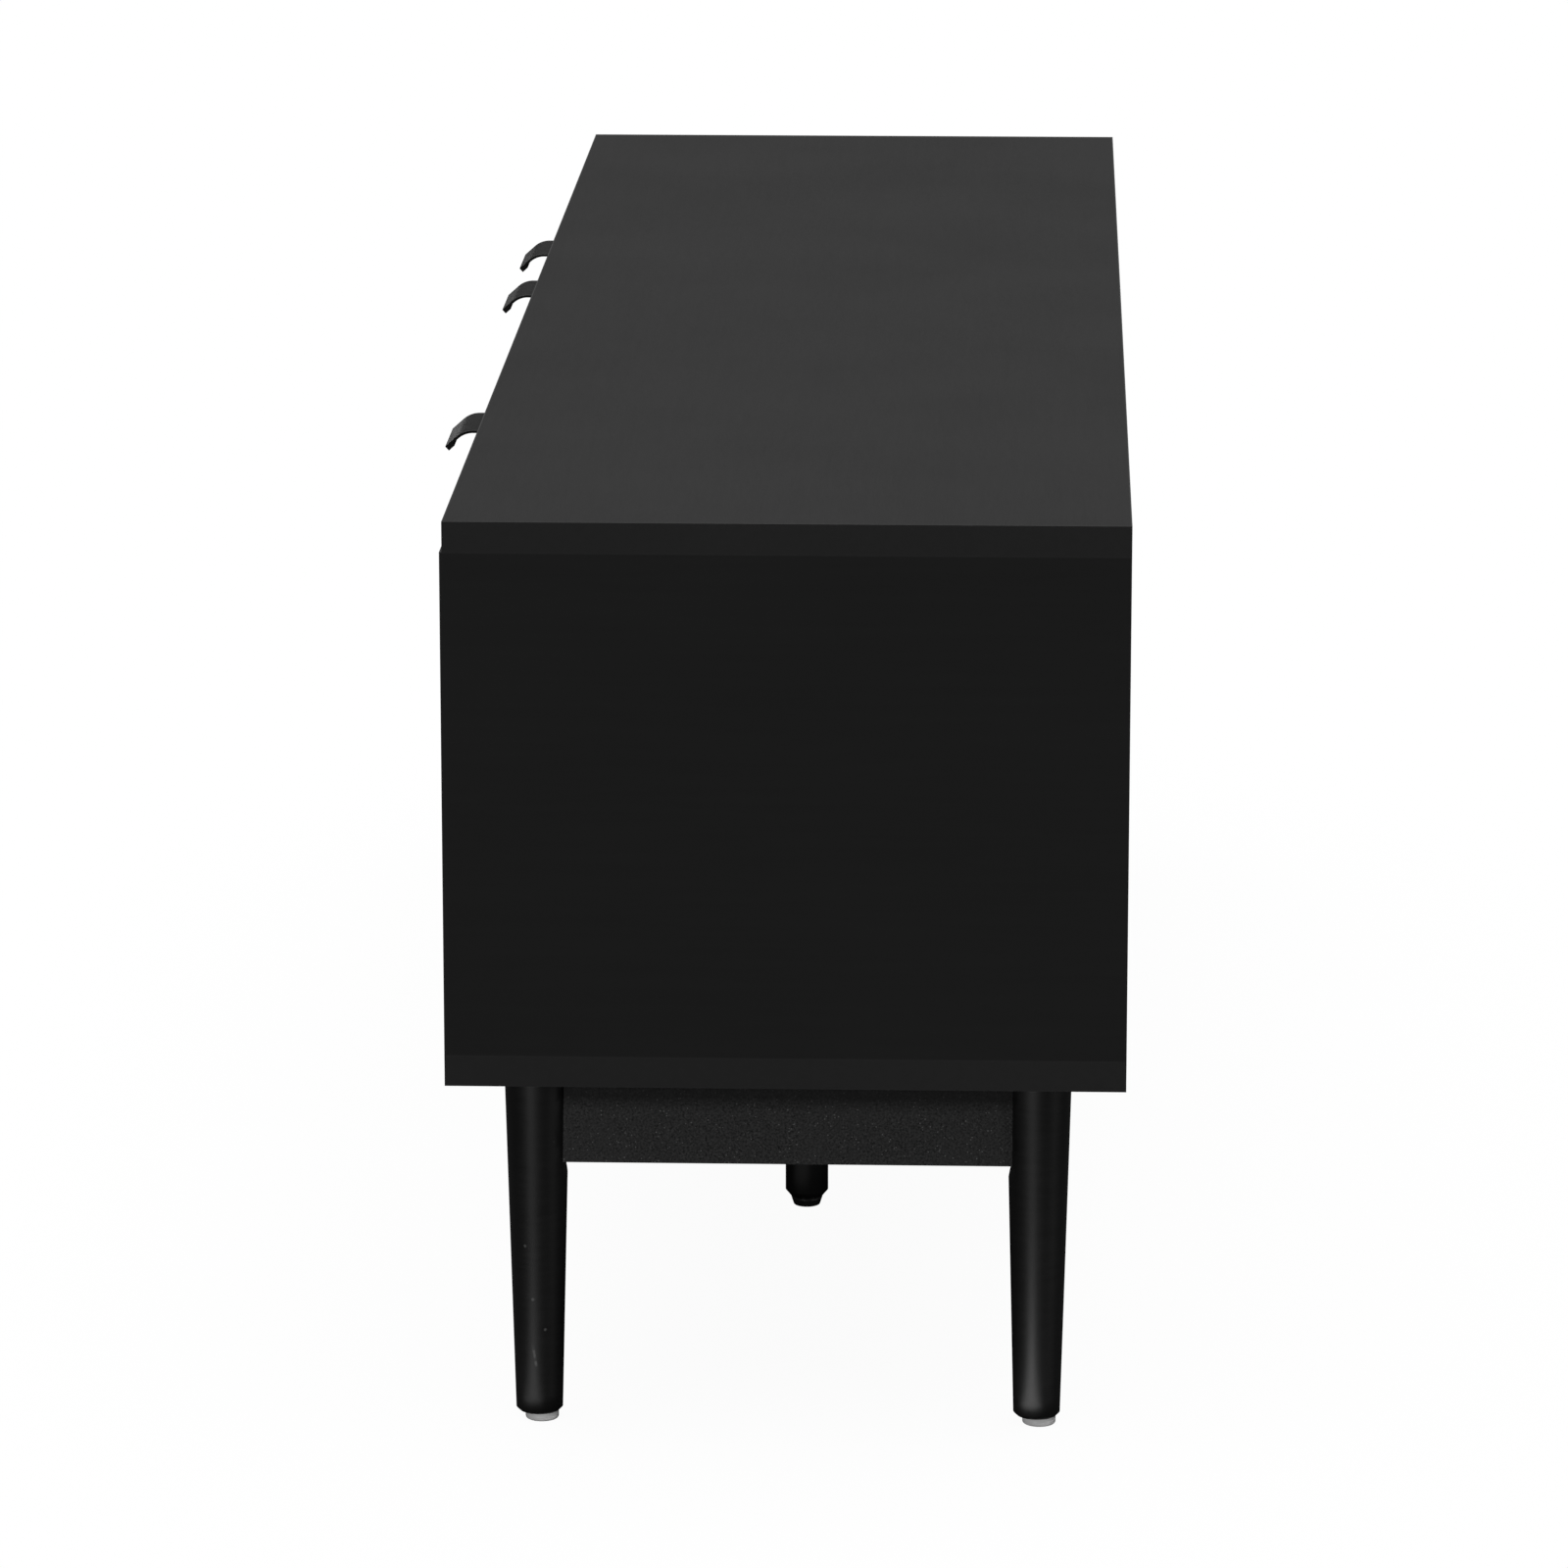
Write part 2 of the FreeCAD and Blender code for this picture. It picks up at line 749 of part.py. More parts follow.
def ball_cages(level):
    """Ball strips between the two members; they travel half as far as the drawer."""
    z = runner_z(level)
    y0 = rear_of_front_y + cage_start
    y1 = y0 + cage_length
    row_rise = (runner_height / 2 - runner_sheet + runner_inner_height / 2) / 2
    strip_height = 2 * row_rise + cage_sheet
    ball_count = int(cage_length // ball_pitch)
    cages = []
    for wall_x, side in runner_sides():
        web_x = wall_x + side * (runner_sheet + cage_gap)
        pieces = [channel(web_x, side, cage_sheet, cage_lip, strip_height, y0, y1, z)]
        for i in range(ball_count):
            y = y0 + ball_pitch * (i + 0.5)
            for rise in (-row_rise, row_rise):
                pieces.append(Part.makeSphere(ball_radius, vec(web_x + side * ball_from_web, y, z + rise)))
        cages.append(joined(pieces))
    return group(cages)


# --- write every sub-part ----------------------------------------------------------------------
def main():
    os.makedirs("parts", exist_ok=True)
    save("top_panel", top_panel())
    save("bottom_panel", bottom_panel())
    save("left_end_panel", left_end_panel())
    save("right_end_panel", right_end_panel())
    save("left_partition", left_partition())
    save("right_partition", right_partition())
    save("back_panel", back_panel())
    save("left_shelf", shelf(-inner_x, -bay_line - board / 2))
    save("middle_shelf", shelf(-bay_line + board / 2, bay_line - board / 2))
    save("shelf_pins", shelf_pins())
    save("cam_bolts", cam_bolts())
    save("cam_locks", cam_locks())
    save("carcass_dowels", carcass_dowels())
    save("back_panel_nails", group(nails()))
    save("leg_hanger_bolts", leg_hanger_bolts())
    save("leg_inserts", leg_inserts())
    save("leg_glides", leg_glides())
    save("apron_dowels", group(apron_dowel_rods()))
    for side, word in ((-1, "left"), (1, "right")):
        save("front_" + word + "_leg", leg(side * leg_x, leg_front_y, 1))
        save("rear_" + word + "_leg", leg(side * leg_x, leg_rear_y, -1))
        save(word + "_end_apron", apron(side))
        save(word + "_centre_support", centre_support(side * bay_line, support_y))
        save(word + "_support_foot", support_foot(side * bay_line, support_y))
    save("hinge_bushes", hinge_bushes())
    save("magnetic_catches", magnetic_catches())
    doors = (
        ("left_door", left_door_x, left_pivot_x, -pull_x, catch_xs()[0]),
        ("middle_door", middle_door_x, middle_pivot_x, -bay_line + pull_from_bay_line, catch_xs()[1]),
    )
    for name, x_range, pivot_x, handle_x, strike_x in doors:
        save(name, door(x_range, pivot_x, handle_x))
        save(name + "_pull", pull(handle_x, fronts_top_z))
        save(name + "_pull_screws", pull_screws(handle_x, fronts_top_z))
        save(name + "_pivot_pins", pivot_pins(pivot_x))
        save(name + "_strike_plate", strike_plate(strike_x))
    save("drawer_runner_rails", runner_rails())
    for level, word in ((0, "lower"), (1, "upper")):
        name = word + "_drawer"
        handle_z = drawer_z(level) + drawer_height
        save(name + "_front", drawer_front(level))
        save(name + "_left_side", drawer_side(level, -1))
        save(name + "_right_side", drawer_side(level, 1))
        save(name + "_back", drawer_back(level))
        save(name + "_base", drawer_base_block(level))
        save(name + "_pull", pull(pull_x, handle_z))
        save(name + "_pull_screws", pull_screws(pull_x, handle_z))
        save(name + "_runner_slides", runner_slides(level))
        save(name + "_ball_cages", ball_cages(level))


main()
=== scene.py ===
import bmesh
import bpy
import json
import math
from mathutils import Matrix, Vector


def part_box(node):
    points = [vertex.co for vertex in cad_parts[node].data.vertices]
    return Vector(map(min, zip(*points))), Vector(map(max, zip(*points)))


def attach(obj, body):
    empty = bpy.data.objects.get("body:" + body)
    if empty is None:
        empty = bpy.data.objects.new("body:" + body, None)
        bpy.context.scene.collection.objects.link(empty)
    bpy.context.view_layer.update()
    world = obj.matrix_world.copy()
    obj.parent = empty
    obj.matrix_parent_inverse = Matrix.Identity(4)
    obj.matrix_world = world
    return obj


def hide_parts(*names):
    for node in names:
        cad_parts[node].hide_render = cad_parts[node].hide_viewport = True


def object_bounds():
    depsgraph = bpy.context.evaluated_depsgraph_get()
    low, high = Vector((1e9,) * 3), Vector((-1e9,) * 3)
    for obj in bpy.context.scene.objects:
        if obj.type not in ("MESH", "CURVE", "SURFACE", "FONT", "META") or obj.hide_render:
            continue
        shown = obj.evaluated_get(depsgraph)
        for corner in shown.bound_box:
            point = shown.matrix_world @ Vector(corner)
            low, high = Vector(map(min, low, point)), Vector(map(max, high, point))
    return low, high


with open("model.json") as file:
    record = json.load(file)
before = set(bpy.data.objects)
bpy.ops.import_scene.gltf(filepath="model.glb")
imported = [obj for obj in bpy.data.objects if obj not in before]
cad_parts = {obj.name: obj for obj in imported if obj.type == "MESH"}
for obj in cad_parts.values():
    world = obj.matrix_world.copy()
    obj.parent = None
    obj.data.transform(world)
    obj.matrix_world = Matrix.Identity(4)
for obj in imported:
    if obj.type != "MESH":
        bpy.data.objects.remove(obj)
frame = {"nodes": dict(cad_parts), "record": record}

cad_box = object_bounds()

# --- driving values, in metres unless named otherwise ------------------------------------------
X, Y, Z = range(3)

camera_from_end = 4.217       # from the right end of the cabinet, along +X
camera_over_top = 0.8597
camera_from_back = 0.0524
camera_yaw_deg = 2.012
camera_pitch_deg = 13.508
camera_lens_mm = 171.56
camera_sensor_mm = 36.0
camera_sees_to = 500.0

floor_size = 120.0
floor_seen = 0.90             # floor albedo where the camera looks at it
floor_glow = 0.96             # share of the floor's look that is even studio white
floor_bounce = 0.05           # floor albedo for the light it sends back to the cabinet
backdrop_seen = 1.0
ambient = 0.045

top_light_strength = 3.45
top_light_spread_deg = 80.0
floor_strip_length = 0.20
floor_strip_width = 0.05
floor_strip_height = 0.004
floor_strip_azimuth_deg = 66.0
floor_strip_away = 0.125      # from the leg's middle to the strip's
front_finishes = {
    "front_laminate", "panel_laminate", "drawer_foil", "back_board", "zinc_steel", "runner_cage",
}
shaped_finishes = {"leg_lacquer", "apron_paint", "support_paint", "black_plastic", "glide_plastic"}

arris = 0.0005                # rounding of the edge-banded board edges
sheet_arris = 0.00025
arris_segments = 3
arris_limit_deg = 50.0
curve_limit_deg = 35.0
weld_reach = 0.00001
edge_strip = 0.0008           # thickness of the strips glued on the boards' edges
wood_grain_stretch = 22.0
scuff_height = 0.043          # middle of the front right leg's scuff, above the floor
scuff_length = 0.015
scuff_aside = 0.001
scuff_lean = 0.15
painted_shadow_start = 0.017       # below the body: a painted shadow of the body's overhang darkens the aprons' upper part down to here
painted_shadow_end = 0.026         # and has its full tone from here

pull_sheet = 0.0018           # the pulls' bent strip
pull_bend_radius = 0.016
pull_bend_deg = 42.0
pull_bend_steps = 28
pull_tip_length = 0.0095
pull_hem_length = 0.005


# --- small helpers for node trees ----------------------------------------------------------------
class Tree:
    """One material's nodes, with short calls for the nodes that the materials share."""

    def __init__(self, name):
        self.material = bpy.data.materials.new(name)
        self.material.use_nodes = True
        self.nodes = self.material.node_tree.nodes
        self.links = self.material.node_tree.links
        self.shader = self.nodes["Principled BSDF"]
        self.coords = self.nodes.new("ShaderNodeTexCoord").outputs["Object"]

    def link(self, source, target):
        self.links.new(source, target)

    def feed(self, socket, value):
        """Connects value to socket if it is an output, and otherwise sets it."""
        if isinstance(value, bpy.types.NodeSocket):
            self.link(value, socket)
        else:
            socket.default_value = value

    def math(self, operation, a, b=0.0, clamp=False):
        node = self.nodes.new("ShaderNodeMath")
        node.operation = operation
        node.use_clamp = clamp
        self.feed(node.inputs[0], a)
        self.feed(node.inputs[1], b)
        return node.outputs[0]

    def scaled(self, factors):
        node = self.nodes.new("ShaderNodeMapping")
        node.inputs["Scale"].default_value = factors
        self.link(self.coords, node.inputs["Vector"])
        return node.outputs["Vector"]

    def noise(self, scale, detail=2.0, roughness=0.5, vector=None, distortion=0.0):
        node = self.nodes.new("ShaderNodeTexNoise")
        node.inputs["Scale"].default_value = scale
        node.inputs["Detail"].default_value = detail
        node.inputs["Roughness"].default_value = roughness
        node.inputs["Distortion"].default_value = distortion
        self.link(self.coords if vector is None else vector, node.inputs["Vector"])
        return node.outputs["Fac"]

    def cells(self, scale, vector=None):
        """Distance to the nearest cell's middle, and a random number that each cell has to itself."""
        node = self.nodes.new("ShaderNodeTexVoronoi")
        node.inputs["Scale"].default_value = scale
        self.link(self.coords if vector is None else vector, node.inputs["Vector"])
        split = self.nodes.new("ShaderNodeSeparateColor")
        self.link(node.outputs["Color"], split.inputs[0])
        return node.outputs["Distance"], split.outputs[0]

    def remap(self, value, low, high, to_low, to_high):
        node = self.nodes.new("ShaderNodeMapRange")
        self.feed(node.inputs["Value"], value)
        node.inputs["From Min"].default_value = low
        node.inputs["From Max"].default_value = high
        node.inputs["To Min"].default_value = to_low
        node.inputs["To Max"].default_value = to_high
        return node.outputs["Result"]

    def mix(self, factor, dark, light):
        node = self.nodes.new("ShaderNodeMix")
        node.data_type = "RGBA"
        self.feed(node.inputs["Factor"], factor)
        self.feed(node.inputs["A"], dark)
        self.feed(node.inputs["B"], light)
        return node.outputs["Result"]

    def bump(self, height, strength, distance, below=None):
        node = self.nodes.new("ShaderNodeBump")
        node.inputs["Strength"].default_value = strength
        node.inputs["Distance"].default_value = distance
        self.link(height, node.inputs["Height"])
        if below is not None:
            self.link(below, node.inputs["Normal"])
        return node.outputs["Normal"]

    def split(self, vector):
        node = self.nodes.new("ShaderNodeSeparateXYZ")
        self.link(vector, node.inputs[0])
        return node.outputs

    def grey_of(self, tone):
        node = self.nodes.new("ShaderNodeCombineColor")
        for channel in node.inputs:
            self.link(tone, channel)
        return node.outputs[0]

    def gaps(self, low, high):
        """Distances from a point to the nearer faces of a box, along X, Y and Z."""
        along = self.split(self.coords)
        found = []
        for i in range(3):
            near = self.math("SUBTRACT", along[i], low[i])
            far = self.math("SUBTRACT", high[i], along[i])
            found.append(self.math("MINIMUM", near, far))
        return found

    def edge_distance(self, low, high):
        """Distance from a point on a board's surface to the board's nearest edge."""
        gaps = self.gaps(low, high)
        first = self.math("MINIMUM", gaps[0], gaps[1])
        second = self.math("MAXIMUM", gaps[0], gaps[1])
        return self.math("MAXIMUM", first, self.math("MINIMUM", second, gaps[2]))

    def finish(self, colour, roughness, normal=None, metallic=0.0, specular=0.5):
        self.feed(self.shader.inputs["Base Color"], colour)
        self.feed(self.shader.inputs["Roughness"], roughness)
        self.shader.inputs["Metallic"].default_value = metallic
        self.shader.inputs["Specular IOR Level"].default_value = specular
        if normal is not None:
            self.link(normal, self.shader.inputs["Normal"])
        return self.material


def grey(value, warmth=0.0):
    return (value * (1 + warmth), value, value * (1 - warmth), 1.0)


# --- materials -------------------------------------------------------------------------------------
def laminate(node, face_tone, edge_tone, grain_axis, thin_axis):
    """Matt black laminate with fine pores along the grain, paler glued edge strips, and edges made paler by
    light wear and by a painted edge highlight.
    """
    tree = Tree("laminate_" + node)
    low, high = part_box(node)
    stretch = [wood_grain_stretch] * 3
    stretch[grain_axis] = 1.0
    along_grain = tree.scaled(stretch)
    pores = tree.noise(42.0, 3.0, 0.6, along_grain)
    fibres = tree.noise(9.0, 4.0, 0.55, along_grain, 0.2)
    clouds = tree.noise(7.0, 2.0, 0.5)
    stipple = tree.noise(1400.0, 2.0, 0.7)
    from_edges = tree.gaps(low, high)
    from_edges.pop(thin_axis)
    to_strip = tree.math("MINIMUM", *from_edges)
    strip = tree.remap(to_strip, edge_strip * 0.7, edge_strip, 1.0, 0.0)
    # edges made paler within a millimetre: partly rubbed wear, partly a painted highlight along the rounded
    # edge
    wear_and_edge_highlight = tree.remap(tree.edge_distance(low, high), 0.0002, 0.0010, 1.0, 0.0)
    nicks = tree.remap(tree.noise(160.0, 3.0, 0.6), 0.45, 0.75, 0.2, 1.0)
    shade = tree.remap(fibres, 0.3, 0.7, 0.965, 1.03)
    shade = tree.math("MULTIPLY", shade, tree.remap(clouds, 0.35, 0.65, 0.99, 1.02))
    tone = tree.math("MULTIPLY", shade, tree.remap(strip, 0.0, 1.0, face_tone, edge_tone))
    tone = tree.math("ADD", tone, tree.math("MULTIPLY", tree.math("MULTIPLY", wear_and_edge_highlight, nicks), 0.007))
    gloss = tree.remap(clouds, 0.3, 0.7, 0.50, 0.54)
    gloss = tree.math("ADD", gloss, tree.remap(pores, 0.35, 0.65, -0.02, 0.02))
    fine = tree.bump(stipple, 0.10, 0.00006)
    normal = tree.bump(pores, 0.09, 0.00010, fine)
    return tree.finish(tree.grey_of(tone), gloss, normal, specular=0.3)


def hardboard(tone):
    """Thin printed board: a matt print over a faint mesh-marked sheet."""
    tree = Tree("back_board")
    mesh, _ = tree.cells(420.0)
    clouds = tree.noise(5.0, 3.0, 0.55)
    colour = tree.mix(tree.remap(clouds, 0.3, 0.7, 0.0, 1.0), grey(tone * 0.88), grey(tone * 1.12))
    normal = tree.bump(mesh, 0.22, 0.00012)
    return tree.finish(colour, tree.remap(clouds, 0.3, 0.7, 0.6, 0.72), normal, specular=0.4)


def drawer_foil(tone):
    """Printed foil on the drawer boxes, with faint fibres along Y."""
    tree = Tree("drawer_foil")
    along_grain = tree.scaled((14.0, 1.0, 14.0))
    fibres = tree.noise(30.0, 4.0, 0.6, along_grain)
    dark, light = grey(tone * 0.85, 0.01), grey(tone * 1.12, 0.01)
    colour = tree.mix(tree.remap(fibres, 0.3, 0.7, 0.0, 1.0), dark, light)
    normal = tree.bump(fibres, 0.12, 0.00008)
    return tree.finish(colour, tree.remap(fibres, 0.3, 0.7, 0.5, 0.6), normal, specular=0.4)


def long_scuff(tree):
    """Mask of the one long, leaning scuff near the foot of the front right leg, on its outer side."""
    low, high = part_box("front_right_leg")
    middle = (low + high) / 2
    x, y, z = tree.split(tree.coords)
    up = tree.math("SUBTRACT", z, scuff_height)
    lean = tree.math("MULTIPLY", up, scuff_lean)
    aside = tree.math("ADD", tree.math("SUBTRACT", y, middle.y - scuff_aside), lean)
    line = tree.remap(tree.math("ABSOLUTE", aside), 0.0004, 0.0010, 1.0, 0.0)
    ends = tree.remap(tree.math("ABSOLUTE", up), scuff_length * 0.35, scuff_length * 0.5, 1.0, 0.0)
    outer = tree.remap(x, middle.x, middle.x + 0.001, 0.0, 1.0)
    patchy = tree.remap(tree.noise(450.0, 2.0, 0.5), 0.40, 0.60, 0.2, 1.0)
    mark = tree.math("MULTIPLY", tree.math("MULTIPLY", line, ends), outer)
    return tree.math("MULTIPLY", mark, patchy)


def lacquered_leg(tone):
    """Satin black lacquer on a turned leg: brushed rings, a few dust specks and short pale scuffs."""
    tree = Tree("leg_lacquer")
    rings = tree.noise(55.0, 3.0, 0.55, tree.scaled((1.0, 1.0, 9.0)))
    peel = tree.noise(380.0, 2.0, 0.5)
    grain = tree.noise(60.0, 4.0, 0.6, tree.scaled((6.0, 6.0, 0.35)))
    spot, pick = tree.cells(95.0)
    rare = tree.remap(pick, 0.90, 0.91, 0.0, 1.0)
    speck = tree.math("MULTIPLY", tree.remap(spot, 0.04, 0.12, 1.0, 0.0), rare)
    streak, streak_pick = tree.cells(30.0, tree.scaled((2.6, 2.6, 0.55)))
    rare_streak = tree.remap(streak_pick, 0.95, 0.955, 0.0, 1.0)
    scuff = tree.math("MULTIPLY", tree.remap(streak, 0.02, 0.07, 1.0, 0.0), rare_streak)
    marks = tree.math("MAXIMUM", tree.math("MAXIMUM", speck, scuff), long_scuff(tree))
    body = tree.mix(tree.remap(grain, 0.3, 0.7, 0.0, 1.0), grey(tone * 0.85), grey(tone * 1.15))
    colour = tree.mix(tree.math("MULTIPLY", marks, 0.6), body, grey(0.12))
    gloss = tree.remap(rings, 0.3, 0.7, 0.40, 0.47)
    gloss = tree.math("ADD", gloss, tree.math("MULTIPLY", marks, 0.2))
    normal = tree.bump(grain, 0.06, 0.0001, tree.bump(peel, 0.05, 0.0001))
    return tree.finish(colour, gloss, normal, specular=0.5)


def speckled_paint(tone):
    """Sprayed black paint over sawn wood: a fine crust with scattered painted glints, and a painted shadow
    of the body's overhang darkening its top.
    """
    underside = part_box("bottom_panel")[0].z
    shadow_from, shadow_to = underside - painted_shadow_end, underside - painted_shadow_start
    tree = Tree("apron_paint")
    crust = tree.noise(760.0, 3.0, 0.7)
    lumps = tree.noise(260.0, 2.0, 0.5)
    patches = tree.noise(22.0, 3.0, 0.6)
    # painted glints: a few tiny cells are painted many times paler than the paint, in place of sparkle
    spot, pick = tree.cells(520.0)
    rare = tree.remap(pick, 0.90, 0.93, 0.0, 1.0)
    glint = tree.math("MULTIPLY", tree.remap(spot, 0.14, 0.36, 1.0, 0.0), rare)
    body = tree.mix(tree.remap(crust, 0.34, 0.66, 0.0, 1.0), grey(tone * 0.05), grey(tone * 2.3))
    body = tree.mix(tree.remap(lumps, 0.35, 0.65, 0.0, 0.45), body, grey(tone * 1.3))
    body = tree.mix(tree.remap(patches, 0.4, 0.7, 0.0, 0.4), body, grey(tone * 1.3))
    colour = tree.mix(glint, body, grey(tone * 13.0))
    # painted shadow: the aprons' colour darkens towards the top, under the body's overhang
    height = tree.split(tree.coords)[Z]
    colour = tree.mix(tree.remap(height, shadow_from, shadow_to, 0.0, 0.75), colour, grey(tone * 0.1))
    normal = tree.bump(lumps, 0.25, 0.0002, tree.bump(crust, 0.3, 0.0001))
    return tree.finish(colour, tree.remap(lumps, 0.3, 0.7, 0.6, 0.75), normal, specular=0.2)


def glossy_tube(tone):
    """Glossy black paint on the support tubes, with faint runs down them."""
    tree = Tree("support_paint")
    peel = tree.noise(240.0, 2.0, 0.5)
    runs = tree.noise(20.0, 3.0, 0.5, tree.scaled((3.0, 3.0, 0.4)))
    colour = tree.mix(tree.remap(runs, 0.3, 0.7, 0.0, 1.0), grey(tone * 0.8), grey(tone * 1.2))
    normal = tree.bump(peel, 0.10, 0.0001)
    return tree.finish(colour, tree.remap(runs, 0.3, 0.7, 0.40, 0.45), normal, specular=1.0)


def powder_coat(tone):
    """Satin powder coat on the pulls, with its fine orange peel."""
    tree = Tree("pull_paint")
    peel = tree.noise(420.0, 2.0, 0.55)
    broad = tree.noise(150.0, 3.0, 0.5)
    colour = tree.mix(tree.remap(broad, 0.3, 0.7, 0.0, 1.0), grey(tone * 0.9), grey(tone * 1.12))
    normal = tree.bump(peel, 0.02, 0.0001)
    return tree.finish(colour, tree.remap(broad, 0.3, 0.7, 0.38, 0.43), normal, specular=0.5)


def zinc(name, tone, roughness):
    """Zinc-plated steel with a fine spangle, and gloss drawn out along Y."""
    tree = Tree(name)
    spangle = tree.noise(260.0, 3.0, 0.6)
    drawn = tree.noise(70.0, 3.0, 0.6, tree.scaled((9.0, 0.6, 9.0)))
    dark = (tone * 0.86, tone * 0.87, tone * 0.90, 1)
    light = (tone * 1.05, tone * 1.04, tone * 1.0, 1)
    colour = tree.mix(tree.remap(spangle, 0.3, 0.7, 0.0, 1.0), dark, light)
    gloss = tree.remap(drawn, 0.3, 0.7, roughness - 0.07, roughness + 0.09)
    normal = tree.bump(drawn, 0.08, 0.0001)
    return tree.finish(colour, gloss, normal, metallic=1.0)


def moulded_plastic(name, tone, roughness):
    """Moulded plastic with a fine spark-eroded skin."""
    tree = Tree(name)
    spark = tree.noise(1500.0, 2.0, 0.6)
    clouds = tree.noise(90.0, 3.0, 0.5)
    colour = tree.mix(tree.remap(clouds, 0.3, 0.7, 0.0, 1.0), grey(tone * 0.9), grey(tone * 1.08))
    normal = tree.bump(spark, 0.2, 0.00008)
    gloss = tree.remap(clouds, 0.3, 0.7, roughness - 0.05, roughness + 0.05)
    return tree.finish(colour, gloss, normal)


def beech():
    """Plain beech for the dowels, with its fibres along Z."""
    tree = Tree("beech")
    fibres = tree.noise(50.0, 4.0, 0.6, tree.scaled((8.0, 8.0, 0.5)))
    dark, light = (0.40, 0.25, 0.14, 1), (0.62, 0.44, 0.28, 1)
    colour = tree.mix(tree.remap(fibres, 0.3, 0.7, 0.0, 1.0), dark, light)
    return tree.finish(colour, 0.6, tree.bump(fibres, 0.2, 0.0001))


# --- the CAD nodes keep their shape and take these materials ------------------------------------------
def round_edges(piece, width, curved):
    rounding = piece.modifiers.new("arris", "BEVEL")
    rounding.width = width
    rounding.segments = arris_segments
    rounding.limit_method = "ANGLE"
    rounding.angle_limit = math.radians(arris_limit_deg)
    rounding.harden_normals = curved
    rounding.miter_outer = "MITER_ARC"


def dress(node, material, bevel=0.0, curved=True):
    """Gives a node its material, rounded edges unless bevel is 0, and smooth faces where it is curved."""
    piece = frame["nodes"][node]
    piece.data.materials.clear()
    piece.data.materials.append(material)
    weld = piece.modifiers.new("weld", "WELD")
    weld.merge_threshold = weld_reach
    if bevel:
        round_edges(piece, bevel, curved)
    if curved:
        piece.data.shade_smooth()
        piece.data.set_sharp_from_angle(angle=math.radians(curve_limit_deg))
    else:
        piece.data.shade_flat()


# the top panel's laminate is a darker copy of the other boards': painted shade that offsets the strong
# light from above
top_shaded_tone = 0.0195
board_tone = 0.0368
strip_tone = 0.0515
boards = {                    # tone, axis along the grain, axis through the thickness
    "top_panel": (top_shaded_tone, X, Z),
    "bottom_panel": (board_tone, X, Z),
    "left_end_panel": (board_tone, Y, X),
    "right_end_panel": (board_tone, Y, X),
    "left_partition": (board_tone, Y, X),
    "right_partition": (board_tone, Y, X),
    "left_shelf": (board_tone, X, Z),
    "middle_shelf": (board_tone, X, Z),
    "left_door": (board_tone, X, Y),
    "middle_door": (board_tone, X, Y),
    "upper_drawer_front": (board_tone, X, Y),
    "lower_drawer_front": (board_tone, X, Y),
}
for board, (tone, grain_axis, thin_axis) in boards.items():
    dress(board, laminate(board, tone, strip_tone, grain_axis, thin_axis), arris, curved=False)

finishes = {
    "back_board": hardboard(0.028),
    "drawer_foil": drawer_foil(0.09),
    "leg_lacquer": lacquered_leg(0.003),
    "apron_paint": speckled_paint(0.0278),
    "support_paint": glossy_tube(0.005),
    "pull_paint": powder_coat(0.014),
    "zinc_steel": zinc("zinc_steel", 0.62, 0.32),
    "runner_cage": zinc("runner_cage", 0.45, 0.26),
    "black_plastic": moulded_plastic("black_plastic", 0.016, 0.42),
    "glide_plastic": moulded_plastic("glide_plastic", 0.85, 0.5),
    "beech": beech(),
}
flat_bevels = {"apron_paint": 0.0008, "drawer_foil": 0.0004, "back_board": 0.0}   # flat-faced pieces
for part in frame["record"]["subparts"]:
    if part["node"] not in boards:
        finish = part["material_slot"]
        bevel = flat_bevels.get(finish, 0.0)
        dress(part["node"], finishes[finish], bevel, curved=finish not in flat_bevels)


# --- pulls: the CAD solid's outline again, with a finely rounded bend ------------------------------------
def pull_outline(low, high):
    """Points (y, z) round a pull's side outline, inside the box of its CAD solid."""
    bend = math.radians(pull_bend_deg)
    top = high.z
    under = top - pull_sheet
    rear = high.y - pull_sheet
    bend_y = low.y + pull_tip_length * math.cos(bend) + pull_bend_radius * math.sin(bend)
    centre_z = top - pull_bend_radius

    def on_arc(radius, angle):
        return (bend_y - radius * math.sin(angle), centre_z + radius * math.cos(angle))

    def beyond(point, distance):
        return (point[0] - math.cos(bend) * distance, point[1] - math.sin(bend) * distance)

    steps = range(pull_bend_steps + 1)
    inner = pull_bend_radius - pull_sheet
    outer_arc = [on_arc(pull_bend_radius, bend * i / pull_bend_steps) for i in steps]
    inner_arc = [on_arc(inner, bend * (pull_bend_steps - i) / pull_bend_steps) for i in steps]
    hem = on_arc(inner - pull_sheet, bend)
    hem_start = pull_tip_length - pull_hem_length
    return ([(high.y, top)] + outer_arc
            + [beyond(outer_arc[-1], pull_tip_length), beyond(hem, pull_tip_length), beyond(hem, hem_start)]
            + [beyond(inner_arc[0], hem_start)] + inner_arc
            + [(rear, under), (rear, low.z), (high.y, low.z)])


